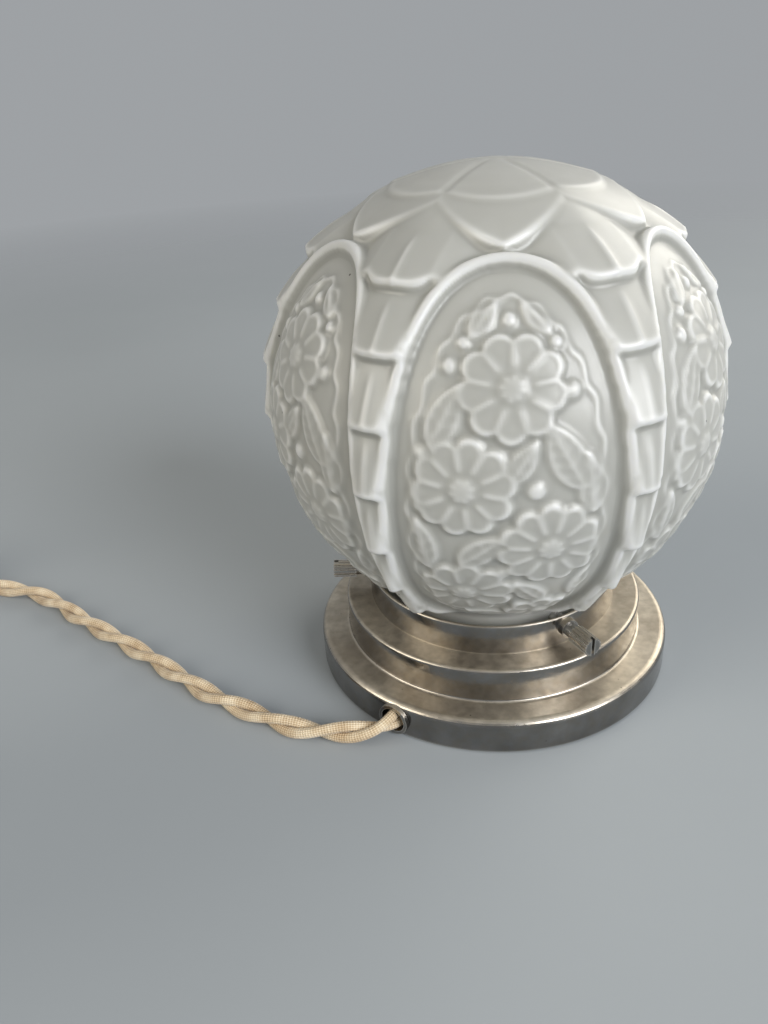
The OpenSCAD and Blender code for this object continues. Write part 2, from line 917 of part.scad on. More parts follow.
module switch_cover() {
    post_r = switch_screw_r + 1.4;
    color("saddlebrown")
        at_switch()
            difference() {
                union() {
                    difference() {
                        translate([0, 0, switch_split])
                            linear_extrude(switch_h - switch_split)
                                long_round(switch_l, switch_w);
                        translate([0, 0, switch_split - eps])
                            linear_extrude(switch_roof - switch_split)
                                long_round(switch_l - 2 * switch_end, switch_w - 2 * switch_wall);
                    }
                    for (s = [-1, 1])
                        translate([s * switch_screw_x, 0, switch_floor])
                            cylinder(r = post_r, h = switch_roof - switch_floor);
                }
                switch_entries();
                for (s = [-1, 1])
                    translate([s * switch_screw_x, 0, switch_floor - eps])
                        cylinder(r = switch_screw_r + seat_gap, h = switch_roof - switch_floor - 1);
                translate([0, -switch_w, bar_z])
                    rotate([-90, 0, 0])
                        cylinder(r = bar_r + run_gap, h = switch_w * 2);
            }
}

// The bar stands out at the front until it is pushed through
module switch_bar() {
    front = switch_w / 2 + bar_out;
    bar_l = switch_w + bar_out + bar_out - bar_travel;
    color("black")
        at_switch()
            translate([0, -front, bar_z])
                rotate([-90, 0, 0])
                    cylinder(r = bar_r, h = bar_l);
}

module switch_bridge() {
    color("gold")
        at_switch()
            translate([0, -bar_travel / 2 - bridge_w / 2, bar_z])
                rotate([-90, 0, 0])
                    pipe(bridge_r, bar_r, bridge_w);
}

// Two brass blocks, each with a leaf that the bridge meets when the bar is pushed through
module switch_contacts() {
    block = [5, 9, 4];
    block_x = 6;
    leaf_t = 0.8;
    leaf_w = 3;
    leaf_x = bridge_r + contact_gap;
    leaf_y = bar_travel / 2 - leaf_w / 2;
    leaf_z = switch_floor + block[2] - leaf_t;
    color("gold")
        at_switch()
            for (side = [0, 1])
                mirror([side, 0, 0]) {
                    translate([block_x, -block[1] / 2, switch_floor])
                        cube(block);
                    translate([leaf_x, leaf_y, leaf_z])
                        cube([block_x - leaf_x + leaf_t, leaf_w, leaf_t]);
                    translate([leaf_x, leaf_y, leaf_z])
                        cube([leaf_t, leaf_w, bar_z - leaf_z]);
                }
}

module switch_screws() {
    color("silver")
        at_switch()
            for (s = [-1, 1])
                translate([s * switch_screw_x, 0, 0]) {
                    cylinder(r = switch_screw_head_r, h = switch_screw_head_h);
                    cylinder(r = switch_screw_r, h = switch_roof - 3);
                }
}

plug_mid = plug_h / 2;
plug_screw_r = 1.5;
plug_screw_head_r = 3;
plug_screw_head_h = 2;
pin_tail = 12;
pin_tail_r = pin_r - 0.3;

module at_plug() {
    translate([plug_pos[0], plug_pos[1], 0])
        children();
}

// Plan of the plug: a round nose where the cord goes in, and wide shoulders at the pins
module plug_plan() {
    shoulder_x = plug_l - plug_corner;
    half = plug_w / 2;
    polygon(concat(
        arc(plug_nose_r, 0, plug_nose_r, 240, 120),
        arc(plug_l * 0.45, half - plug_corner, plug_corner, 120, 90),
        arc(shoulder_x, half - plug_corner, plug_corner, 90, 0),
        arc(shoulder_x, plug_corner - half, plug_corner, 0, -90),
        arc(plug_l * 0.45, plug_corner - half, plug_corner, 270, 240)
    ));
}

// What both halves of the plug are cut for: cord, pins, wires and screw
module plug_cuts() {
    wire_room = [plug_l * 0.3, plug_w * 0.6, plug_h * 0.45];
    translate([-plug_l / 2, 0, plug_mid])
        rotate([0, 90, 0])
            cylinder(r = cord_r + entry_gap, h = plug_l);
    for (s = [-1, 1])
        translate([plug_l - pin_tail, s * pin_pitch / 2, plug_mid])
            rotate([0, 90, 0])
                cylinder(r = pin_tail_r + seat_gap, h = plug_l);
    translate([plug_l * 0.4, -wire_room[1] / 2, plug_mid - wire_room[2] / 2])
        cube(wire_room);
    translate([plug_l - pin_tail / 2, 0, -eps])
        cylinder(r = plug_screw_r + seat_gap, h = plug_h + 2 * eps);
    translate([plug_l - pin_tail / 2, 0, plug_h - plug_screw_head_h])
        cylinder(r = plug_screw_head_r + seat_gap, h = plug_h);
}

module plug_base() {
    color("saddlebrown")
        at_plug()
            difference() {
                linear_extrude(plug_mid)
                    plug_plan();
                plug_cuts();
            }
}

module plug_cover() {
    color("saddlebrown")
        at_plug()
            difference() {
                translate([0, 0, plug_mid])
                    linear_extrude(plug_mid)
                        plug_plan();
                plug_cuts();
            }
}

module plug_pins() {
    color("gold")
        at_plug()
            for (s = [-1, 1])
                translate([plug_l, s * pin_pitch / 2, plug_mid])
                    rotate([0, 90, 0]) {
                        cylinder(r = pin_r, h = pin_l);
                        translate([0, 0, -pin_tail])
                            cylinder(r = pin_tail_r, h = pin_tail + pin_l / 2);
                    }
}

module plug_screw() {
    color("silver")
        at_plug()
            translate([plug_l - pin_tail / 2, 0, 0]) {
                translate([0, 0, 1])
                    cylinder(r = plug_screw_r, h = plug_h - 1 - eps);
                translate([0, 0, plug_h - plug_screw_head_h])
                    cylinder(r = plug_screw_head_r, h = plug_screw_head_h - 0.4);
            }
}

felt_pad();
bottom_plate();
base_shell();
cord_bush();
gallery_cup();
screw_bosses();
thumbscrew_shank(0);  // thumbscrew_shank_1
thumbscrew_shank(1);  // thumbscrew_shank_2
thumbscrew_shank(2);  // thumbscrew_shank_3
thumbscrew_head(0);  // thumbscrew_head_1
thumbscrew_head(1);  // thumbscrew_head_2
thumbscrew_head(2);  // thumbscrew_head_3
glass_shade();
nipple();
nipple_nuts();
holder_cap();
holder_shell();
holder_core();
screw_shell();
centre_contact();
terminal_screws();
inner_leads();
bulb_contact();
bulb_insulator();
bulb_cap();
bulb_glass();
bulb_stem();
filament();
cord_lead();
cord_link();
cord_coil();
cord_tail();
cord_tie();
switch_base();
switch_cover();
switch_bar();
switch_bridge();
switch_contacts();
switch_screws();
plug_base();
plug_cover();
plug_pins();
plug_screw();
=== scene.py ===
import json
import math

import bpy
import numpy as np
from mathutils import Matrix, Vector


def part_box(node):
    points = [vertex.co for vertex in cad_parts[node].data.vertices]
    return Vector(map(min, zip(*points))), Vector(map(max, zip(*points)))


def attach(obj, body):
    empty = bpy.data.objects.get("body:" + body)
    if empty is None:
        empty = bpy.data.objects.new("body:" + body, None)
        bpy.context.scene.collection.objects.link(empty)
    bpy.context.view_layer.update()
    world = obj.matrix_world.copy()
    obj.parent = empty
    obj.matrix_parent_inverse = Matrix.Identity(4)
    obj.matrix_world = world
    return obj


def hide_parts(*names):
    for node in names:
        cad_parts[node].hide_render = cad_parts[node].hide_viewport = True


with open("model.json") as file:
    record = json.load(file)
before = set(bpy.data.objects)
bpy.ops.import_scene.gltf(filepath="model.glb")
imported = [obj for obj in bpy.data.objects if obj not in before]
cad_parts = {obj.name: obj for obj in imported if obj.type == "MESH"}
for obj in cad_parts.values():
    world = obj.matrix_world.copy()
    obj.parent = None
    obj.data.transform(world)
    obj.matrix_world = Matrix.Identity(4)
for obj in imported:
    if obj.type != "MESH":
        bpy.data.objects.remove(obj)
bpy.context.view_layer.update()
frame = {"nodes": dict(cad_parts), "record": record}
nodes = frame["nodes"]
scene = bpy.context.scene
scene.view_settings.view_transform = "Standard"

# Lengths in this script are in millimetres, as in the part's source, until a mesh is made
MM = 0.001
TURN = 2 * math.pi


# Camera: the photograph's frame is 768 by 1024 pixels, seen with a focal length of 850 pixels
FRAME_HIGH = 1024
FOCAL = 850
SENSOR = 36


def make_camera():
    place = Vector((0, -223.206, 166.494))
    yaw, pitch, roll = math.radians(-8.15), math.radians(28.46), math.radians(-3.48)
    ahead = Vector((math.sin(yaw) * math.cos(pitch), math.cos(yaw) * math.cos(pitch), -math.sin(pitch)))
    level = Vector((math.cos(yaw), -math.sin(yaw), 0))
    above = level.cross(ahead)
    right = math.cos(roll) * level + math.sin(roll) * above
    up = math.cos(roll) * above - math.sin(roll) * level
    data = bpy.data.cameras.new("camera")
    data.sensor_width = SENSOR
    data.lens = SENSOR * FOCAL / FRAME_HIGH
    data.clip_start = 0.01
    camera = bpy.data.objects.new("camera", data)
    scene.collection.objects.link(camera)
    pose = Matrix((right, up, -ahead)).transposed().to_4x4()
    pose.translation = place * MM
    camera.matrix_world = pose
    scene.camera = camera


make_camera()


class Wires:
    """Short ways to place and wire shader nodes in one tree."""

    tree = None

    def node(self, kind, inputs=None, **settings):
        made = self.tree.nodes.new(kind)
        for key, value in settings.items():
            setattr(made, key, value)
        for key, value in (inputs or {}).items():
            if isinstance(value, bpy.types.NodeSocket):
                self.tree.links.new(value, made.inputs[key])
            else:
                made.inputs[key].default_value = value
        return made

    def math(self, operation, a, b=0.0):
        return self.node("ShaderNodeMath", {0: a, 1: b}, operation=operation).outputs[0]

    def place(self):
        return self.node("ShaderNodeTexCoord").outputs["Object"]

    def per_metre(self, size):
        """Texture scale for features of a size in mm."""
        return self.math("DIVIDE", 1 / MM, size)

    def spread(self, value, low, high, to_low, to_high):
        inputs = {"Value": value, 1: low, 2: high, 3: to_low, 4: to_high}
        return self.node("ShaderNodeMapRange", inputs).outputs["Result"]

    def mix(self, share, first, second):
        inputs = {"Factor": share, 6: first, 7: second}
        return self.node("ShaderNodeMix", inputs, data_type="RGBA").outputs[2]

    def ramp(self, value, *stops):
        made = self.node("ShaderNodeValToRGB", {"Fac": value})
        elements = made.color_ramp.elements
        while len(elements) < len(stops):
            elements.new(0.5)
        for element, (position, colour) in zip(elements, stops):
            element.position = position
            element.color = (*colour, 1)
        return made.outputs["Color"]


NUMBER, COLOUR = "NodeSocketFloat", "NodeSocketColor"


class Effect(Wires):
    """A shader node group with named inputs and outputs, built once for all the finishes that use it."""

    def __init__(self, name, inputs, outputs):
        self.tree = bpy.data.node_groups.new(name, "ShaderNodeTree")
        for label, (kind, value) in inputs.items():
            self.tree.interface.new_socket(label, in_out="INPUT", socket_type=kind).default_value = value
        for label, kind in outputs.items():
            self.tree.interface.new_socket(label, in_out="OUTPUT", socket_type=kind)
        self.given = self.tree.nodes.new("NodeGroupInput").outputs
        self.result = self.tree.nodes.new("NodeGroupOutput").inputs

    def put(self, label, value):
        self.tree.links.new(value, self.result[label])

    def noise(self, detail):
        inputs = {"Vector": self.place(), "Scale": self.per_metre(self.given["Size"]), "Detail": detail}
        if "Swirl" in self.given:
            inputs["Distortion"] = self.given["Swirl"]
        return self.node("ShaderNodeTexNoise", inputs).outputs["Fac"]


def make_clouds():
    """Tarnish, marbling or unevenness of tone, in soft clouds of a size in mm."""
    inputs = {
        "Size": (NUMBER, 10.0), "Swirl": (NUMBER, 0.0),
        "Dark": (COLOUR, (0, 0, 0, 1)), "Light": (COLOUR, (1, 1, 1, 1)),
    }
    clouds = Effect("tone_clouds", inputs, {"Colour": COLOUR, "Share": NUMBER})
    share = clouds.spread(clouds.noise(4), 0.32, 0.68, 0, 1)
    clouds.put("Share", share)
    clouds.put("Colour", clouds.mix(share, clouds.given["Dark"], clouds.given["Light"]))
    return clouds


def make_handling():
    """Roughness between a smooth and a rubbed value, in patches of a size in mm."""
    inputs = {"Size": (NUMBER, 2.0), "Smooth": (NUMBER, 0.2), "Rubbed": (NUMBER, 0.4)}
    handling = Effect("handling_marks", inputs, {"Roughness": NUMBER})
    given = handling.given
    handling.put("Roughness", handling.spread(handling.noise(4), 0.3, 0.7, given["Smooth"], given["Rubbed"]))
    return handling


def make_grain():
    """Height of a fine uneven surface, with a grain of a size in mm."""
    grain = Effect("surface_grain", {"Size": (NUMBER, 0.5)}, {"Height": NUMBER})
    grain.put("Height", grain.noise(3))
    return grain


def make_dust():
    """Mask of dark specks, scattered at a spacing in mm, of a width as a share of the spacing."""
    dust = Effect("dust_specks", {"Spacing": (NUMBER, 10.0), "Width": (NUMBER, 0.03)}, {"Mask": NUMBER})
    inputs = {"Vector": dust.place(), "Scale": dust.per_metre(dust.given["Spacing"])}
    way = dust.node("ShaderNodeTexVoronoi", inputs).outputs["Distance"]
    edge = dust.math("MULTIPLY", dust.given["Width"], 1.5)
    dust.put("Mask", dust.spread(way, dust.given["Width"], edge, 1, 0))
    return dust


def make_edges():
    """Mask of edges within a reach in mm, outer edges and inner fillets alike: the edges that hands and
    polishing rub, and on the plating also painted highlight lines.
    """
    edges = Effect("edge_wear_and_highlight", {"Reach": (NUMBER, 0.8)}, {"Mask": NUMBER})
    reach = edges.math("MULTIPLY", edges.given["Reach"], MM)
    bent = edges.node("ShaderNodeBevel", {"Radius": reach}, samples=6).outputs[0]
    straight = edges.node("ShaderNodeNewGeometry").outputs["Normal"]
    along = edges.node("ShaderNodeVectorMath", {0: bent, 1: straight}, operation="DOT_PRODUCT")
    edges.put("Mask", edges.spread(along.outputs["Value"], 0.995, 0.8, 0, 1))
    return edges


CLOUDS, HANDLING, GRAIN, DUST, EDGES = make_clouds(), make_handling(), make_grain(), make_dust(), make_edges()


class Look(Wires):
    """A finish: a material with a principled shader, which takes constants on its own sockets."""

    def __init__(self, name, **constants):
        self.material = bpy.data.materials.new(name)
        self.material.use_nodes = True
        self.tree = self.material.node_tree
        self.shader = self.tree.nodes["Principled BSDF"]
        for socket, value in constants.items():
            self.shader.inputs[socket.replace("_", " ")].default_value = value

    def set(self, socket, value):
        self.tree.links.new(value, self.shader.inputs[socket])

    def use(self, effect, result, **values):
        """Places a shared effect with this finish's own values."""
        return self.node("ShaderNodeGroup", values, node_tree=effect.tree).outputs[result]

    def clouds(self, size, dark, light, swirl=0.0):
        return self.use(CLOUDS, "Colour", Size=size, Swirl=swirl, Dark=(*dark, 1), Light=(*light, 1))

    def handling(self, size, smooth, rubbed):
        return self.use(HANDLING, "Roughness", Size=size, Smooth=smooth, Rubbed=rubbed)

    def bump(self, height, depth, strength=1.0):
        """Adds relief of a depth in mm under what is wired already."""
        inputs = {"Height": height, "Distance": depth * MM, "Strength": strength}
        below = self.shader.inputs["Normal"]
        if below.is_linked:
            inputs["Normal"] = below.links[0].from_socket
        self.set("Normal", self.node("ShaderNodeBump", inputs).outputs[0])

    def grain(self, size, depth, strength=0.5):
        self.bump(self.use(GRAIN, "Height", Size=size), depth, strength)


def frosted_glass():
    """Etched glass with painted light: the moulding's crests are painted whiter as painted highlight and its
    hollows greyer as painted shade, by the mesh's crest values.
    """
    look = Look(
        "frosted_glass", IOR=1.5, Transmission_Weight=0.35, Coat_Weight=0.4, Coat_Roughness=0.24,
        Subsurface_Weight=0.5, Subsurface_Radius=(0.005, 0.005, 0.0045), Subsurface_Scale=0.5,
    )
    crest = look.node("ShaderNodeAttribute", attribute_name="crest").outputs["Fac"]
    uneven = look.use(CLOUDS, "Share", Size=40.0)
    # painted highlight on the moulding's crests and painted shade in its hollows, with a little random
    # unevenness of tone
    depth = look.math("ADD", look.spread(crest, -0.35, 0.38, 0, 1), look.spread(uneven, 0, 1, -0.05, 0.05))
    tone = look.ramp(
        depth, (0.1, (0.46, 0.459, 0.422)), (0.48, (0.575, 0.573, 0.535)), (0.85, (0.93, 0.93, 0.905)),
    )
    speck = look.use(DUST, "Mask", Spacing=11.0, Width=0.022)
    look.set("Base Color", look.mix(speck, tone, (0.08, 0.07, 0.06, 1)))
    look.set("Roughness", look.handling(6.0, 0.42, 0.54))
    look.grain(0.5, 0.01, 0.4)
    look.grain(7.0, 0.15, 0.3)
    return look.material


def nickel_plate():
    """Worn plating: warm satin where it faces up, mirror-like on the walls; the walls take a darker colour
    than the treads as painted shade and reflection, and the edges are lightened by rubbed wear and painted
    highlight.
    """
    look = Look("nickel_plate", Metallic=1.0)
    normal = look.node("ShaderNodeNewGeometry").outputs["Normal"]
    facing_up = look.node("ShaderNodeSeparateXYZ", {0: normal}).outputs["Z"]
    # painted light: the treads, facing up, take a lighter colour and the walls a darker one, chosen by the
    # surface's facing
    tread = look.spread(facing_up, 0.35, 0.9, 0, 1)
    lit_tread_colour = look.clouds(14.0, (0.47, 0.405, 0.32), (0.70, 0.625, 0.51))
    shaded_wall_colour = look.clouds(10.0, (0.20, 0.195, 0.19), (0.31, 0.305, 0.30))
    edge = look.use(EDGES, "Mask", Reach=0.9)
    tarnish = look.spread(look.use(CLOUDS, "Share", Size=2.4), 0, 1, 0, 0.4)
    # tarnish in clouds over the painted lit and shaded colours
    stained_and_shaded = look.mix(tarnish, look.mix(tread, shaded_wall_colour, lit_tread_colour), (0.25, 0.215, 0.165, 1))
    # edges lightened: partly rubbed wear, partly painted highlight lines along edges and fillets
    worn_and_highlit = look.mix(edge, stained_and_shaded, (0.68, 0.65, 0.60, 1))
    speck = look.use(DUST, "Mask", Spacing=5.0, Width=0.03)
    look.set("Base Color", look.mix(speck, worn_and_highlit, (0.10, 0.085, 0.07, 1)))
    smooth = look.handling(3.0, 0.12, 0.2)
    satin = look.handling(3.0, 0.38, 0.52)
    look.set("Roughness", look.spread(tread, 0, 1, smooth, satin))
    around = look.node("ShaderNodeMapping", {"Vector": look.place(), "Scale": (1, 1, 0)}).outputs[0]
    from_axis = look.node("ShaderNodeVectorMath", {0: around}, operation="LENGTH").outputs["Value"]
    ring = look.node("ShaderNodeCombineXYZ", {"X": from_axis}).outputs[0]
    spun = look.node("ShaderNodeTexNoise", {"Vector": ring, "Scale": 2800.0, "Detail": 2.0}).outputs["Fac"]
    look.bump(spun, 0.008, 0.5)
    pits = look.spread(look.use(GRAIN, "Height", Size=1.1), 0.62, 0.76, 0, -1)
    look.bump(pits, 0.05, 0.5)
    look.grain(9.0, 0.1, 0.25)
    return look.material


def plain_metal(name, dark, light, smooth, grain):
    """Brass, steel or wire with tarnish in clouds, fine marks and rubbed edges."""
    look = Look(name, Metallic=1.0)
    tone = look.clouds(6.0, dark, light)
    bright = tuple(min(1.0, 1.3 * c) for c in light)
    look.set("Base Color", look.mix(look.use(EDGES, "Mask", Reach=0.4), tone, (*bright, 1)))
    look.set("Roughness", look.handling(1.2, smooth, smooth + 0.18))
    look.grain(grain, 0.02)
    return look.material


def brown_plastic():
    look = Look("brown_plastic", Coat_Weight=0.25)
    marble = look.clouds(9.0, (0.035, 0.016, 0.01), (0.10, 0.045, 0.022), swirl=1.6)
    rubbed = look.mix(look.use(EDGES, "Mask", Reach=0.6), marble, (0.16, 0.085, 0.05, 1))
    speck = look.use(DUST, "Mask", Spacing=4.0, Width=0.025)
    look.set("Base Color", look.mix(speck, rubbed, (0.28, 0.25, 0.21, 1)))
    look.set("Roughness", look.handling(1.4, 0.22, 0.4))
    look.grain(1.2, 0.02, 0.4)
    return look.material


def textile():
    """Braided silk over a core: the mesh's own map runs along the strand in mm and once round it."""
    look = Look("textile_cord", Sheen_Weight=0.35, Sheen_Roughness=0.4)
    cell = 1.5
    plaits = 7
    ends = look.node("ShaderNodeSeparateXYZ", {0: look.node("ShaderNodeUVMap", uv_map="strand").outputs[0]})
    along = look.math("MULTIPLY", ends.outputs["X"], TURN / cell)
    about = look.math("MULTIPLY", ends.outputs["Y"], plaits * TURN)
    one = look.math("SINE", look.math("ADD", along, about))
    other = look.math("SINE", look.math("SUBTRACT", along, about))
    weave = look.math("MULTIPLY", one, other)
    soiled = look.spread(look.use(CLOUDS, "Share", Size=5.0), 0, 1, 0.3, 0.7)
    # painted shade in the weave's hollows and painted highlight on its crowns, added to soiling in clouds
    shade = look.math("ADD", look.math("MULTIPLY", weave, 0.22), soiled)
    look.set("Base Color", look.ramp(
        shade, (0.2, (0.42, 0.285, 0.155)), (0.5, (0.68, 0.53, 0.345)), (0.8, (0.86, 0.74, 0.55)),
    ))
    look.set("Roughness", look.spread(weave, -1, 1, 0.62, 0.42))
    look.bump(weave, 0.16, 0.8)
    look.grain(0.25, 0.04)
    return look.material


def fibre(name, dark, light, size):
    """Felt or woven tape: a matt nap of short fibres."""
    look = Look(name, Roughness=0.92, Sheen_Weight=0.25)
    look.set("Base Color", look.clouds(size, dark, light))
    look.grain(size, size * 0.3, 0.8)
    return look.material


def clear_glass():
    look = Look("clear_glass", IOR=1.48, Transmission_Weight=0.95, Base_Color=(0.97, 0.98, 0.98, 1))
    look.set("Roughness", look.handling(8.0, 0.02, 0.07))
    look.grain(10.0, 0.04, 0.3)
    return look.material


def glaze(name, dark, light, smooth):
    """Glazed porcelain, black insulating glass or the covering of a lead."""
    look = Look(name)
    look.set("Base Color", look.clouds(4.0, dark, light))
    look.set("Roughness", look.handling(2.0, smooth, smooth + 0.12))
    look.grain(0.8, 0.02, 0.4)
    return look.material


looks = {
    "felt": fibre("felt", (0.02, 0.03, 0.02), (0.05, 0.07, 0.05), 0.6),
    "plate_steel": plain_metal("plate_steel", (0.12, 0.12, 0.12), (0.2, 0.2, 0.2), 0.4, 0.5),
    "nickel_plate": nickel_plate(),
    "frosted_glass": frosted_glass(),
    "brass": plain_metal("brass", (0.50, 0.34, 0.13), (0.70, 0.52, 0.25), 0.25, 0.4),
    "porcelain": glaze("porcelain", (0.78, 0.77, 0.73), (0.86, 0.85, 0.81), 0.15),
    "lead_insulation": glaze("lead_insulation", (0.50, 0.40, 0.26), (0.60, 0.50, 0.34), 0.6),
    "bulb_cap_metal": plain_metal("bulb_cap_metal", (0.58, 0.58, 0.57), (0.72, 0.72, 0.71), 0.25, 0.3),
    "black_glass": glaze("black_glass", (0.012, 0.012, 0.014), (0.03, 0.03, 0.034), 0.12),
    "clear_glass": clear_glass(),
    "filament_wire": plain_metal("filament_wire", (0.2, 0.2, 0.21), (0.32, 0.32, 0.33), 0.35, 0.2),
    "textile_cord": textile(),
    "black_tie": fibre("black_tie", (0.012, 0.012, 0.013), (0.035, 0.035, 0.037), 0.5),
    "brown_plastic": brown_plastic(),
    "black_plastic": glaze("black_plastic", (0.012, 0.011, 0.011), (0.028, 0.026, 0.026), 0.2),
    "screw_steel": plain_metal("screw_steel", (0.34, 0.33, 0.32), (0.50, 0.49, 0.47), 0.24, 0.3),
}
slots = {part["node"]: part["material_slot"] for part in frame["record"]["subparts"]}
for name, shown in nodes.items():
    for holder in shown.material_slots:
        holder.material = looks[slots[name]]


def add_piece(name, points, faces, slot, uv=None, body="lamp", smooth=True):
    """A mesh piece from points in mm, which rides on a body and takes a slot's look."""
    mesh = bpy.data.meshes.new(name)
    mesh.from_pydata((np.asarray(points, float) * MM).tolist(), [], faces)
    mesh.polygons.foreach_set("use_smooth", [smooth] * len(mesh.polygons))
    if uv is not None:
        layer = mesh.uv_layers.new(name="strand")
        corners = np.zeros(len(mesh.loops), np.int32)
        mesh.loops.foreach_get("vertex_index", corners)
        layer.data.foreach_set("uv", np.asarray(uv, float)[corners].ravel())
    mesh.update()
    piece = bpy.data.objects.new(name, mesh)
    scene.collection.objects.link(piece)
    mesh.materials.append(looks[slot])
    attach(piece, body)
    return piece


def smooth_route(points, step):
    """Points about a step apart on a smooth curve through a given route."""
    p = np.array(points, float)
    t = np.concatenate([[0], np.cumsum(np.linalg.norm(np.diff(p, axis=0), axis=1))])
    slope = np.gradient(p, t, axis=0)
    dense = []
    for i in range(len(p) - 1):
        u = np.linspace(0, 1, 20, endpoint=False)[:, None]
        gap = t[i + 1] - t[i]
        dense.append(
            (2 * u**3 - 3 * u**2 + 1) * p[i] + (u**3 - 2 * u**2 + u) * gap * slope[i]
            + (3 * u**2 - 2 * u**3) * p[i + 1] + (u**3 - u**2) * gap * slope[i + 1]
        )
    line = np.vstack([*dense, p[-1:]])
    return even_steps(line, step)


def lengths_along(line):
    return np.concatenate([[0], np.cumsum(np.linalg.norm(np.diff(line, axis=0), axis=1))])


def even_steps(line, step):
    along = lengths_along(line)
    wanted = np.linspace(0, along[-1], int(round(along[-1] / step)) + 1)
    return np.column_stack([np.interp(wanted, along, line[:, k]) for k in range(3)])


def frames_along(line):
    """Headings, and two directions square to them that turn as little as they can along the line."""
    heading = np.gradient(line, axis=0)
    heading /= np.linalg.norm(heading, axis=1)[:, None]
    side = np.zeros_like(line)
    start = np.cross(heading[0], (0, 0, 1))
    side[0] = start / np.linalg.norm(start)
    for i in range(1, len(line)):
        moved = side[i - 1] - heading[i] * (side[i - 1] @ heading[i])
        side[i] = moved / np.linalg.norm(moved)
    return heading, side, np.cross(heading, side)


def tube(line, radius, sides):
    """Points, faces and map of a closed round tube along a line; the map's seam has its own points."""
    _, side, top = frames_along(line)
    angle = np.linspace(0, TURN, sides + 1)
    ring = np.cos(angle)[None, :, None] * side[:, None] + np.sin(angle)[None, :, None] * top[:, None]
    points = (line[:, None] + radius * ring).reshape(-1, 3)
    along, about = np.broadcast_arrays(lengths_along(line)[:, None], angle[None] / TURN)
    uv = np.stack([along, about], axis=2).reshape(-1, 2)
    wide = sides + 1
    faces = [
        (i * wide + k, i * wide + k + 1, (i + 1) * wide + k + 1, (i + 1) * wide + k)
        for i in range(len(line) - 1) for k in range(sides)
    ]
    last = (len(line) - 1) * wide
    faces += [tuple(range(sides - 1, -1, -1)), tuple(range(last, last + sides))]
    return points, faces, uv


# Cord: a twisted pair of silk-braided cores along the routes of the part's source
STRAND_R = 1.48
STRAND_OFF = 1.52
TWIST = 34.0


def twisted_pair(name, line, sides):
    """Two strands round a middle line, with a left-hand lay."""
    _, side, top = frames_along(line)
    turn = -TURN * lengths_along(line) / TWIST
    points, faces, uv = [], [], []
    for phase in (0, math.pi):
        off = np.cos(turn + phase)[:, None] * side + np.sin(turn + phase)[:, None] * top
        p, f, m = tube(line + STRAND_OFF * off, STRAND_R, sides)
        base = sum(len(q) for q in points)
        points.append(p)
        uv.append(m)
        faces += [tuple(i + base for i in face) for face in f]
    return add_piece(name, np.vstack(points), faces, "textile_cord", np.vstack(uv))


lead_route = [
    (-20.8, -40.7, 5.2), (-24.6, -45.3, 5.2), (-25.9, -46.8, 5.2), (-28.2, -48.9, 5),
    (-31, -50.4, 4.7), (-34, -51, 4.3), (-39, -51.3, 3.8), (-46, -50.8, 3.3), (-54, -49.3, 3),
    (-66.5, -44.2, 3), (-79, -38.5, 3), (-92.5, -30, 3), (-107.5, -20, 3), (-123.5, -10, 3),
    (-136, -2.5, 3), (-147, 5, 3), (-157, 11, 3), (-166, 14.2, 3), (-175, 16, 3),
    (-184, 16.6, 3.6), (-191, 16.4, 5.6), (-197, 16, 7.5), (-205, 16, 7.5),
]
link_route = [
    (-255, 16, 7.5), (-262, 16, 7.5), (-269.5, 14, 6.3), (-276, 9, 4.9), (-280, 2, 4.1),
    (-281, -7, 4), (-281, -20, 4), (-281, -34, 4), (-281, -45, 4),
]
tail_route = [(-229, -97, 10.6), (-223, -97, 10.6), (-215, -97, 9.5), (-207, -97, 8), (-198, -97, 8)]
COIL_X, COIL_Y, COIL_Z = -235, -51, 4.0
COIL_R = 46.0
COIL_STEP = 6.6
COIL_TURNS = 6.25


def coil_line():
    """In at the outer turn of the bottom layer, out again at the outer turn of the top layer."""
    turns = np.linspace(0, COIL_TURNS, 301)
    angle = math.pi + TURN * turns
    middle = COIL_TURNS / 2
    radius = COIL_R - COIL_STEP * middle + COIL_STEP * np.abs(turns - middle)
    climb = np.clip(2 * (turns - middle) + 0.5, 0, 1)
    height = COIL_Z + COIL_STEP * climb**2 * (3 - 2 * climb)
    return np.column_stack([COIL_X + radius * np.cos(angle), COIL_Y + radius * np.sin(angle), height])


lead_line = smooth_route(lead_route, 1.2)
rest_line = even_steps(
    np.vstack([smooth_route(link_route, 2), coil_line(), smooth_route(tail_route, 2)]), 2,
)
lead = twisted_pair("cord_to_switch", lead_line, 18)
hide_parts("cord_lead")
rest = twisted_pair("cord_to_plug", rest_line, 12)
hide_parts("cord_link", "cord_coil", "cord_tail")


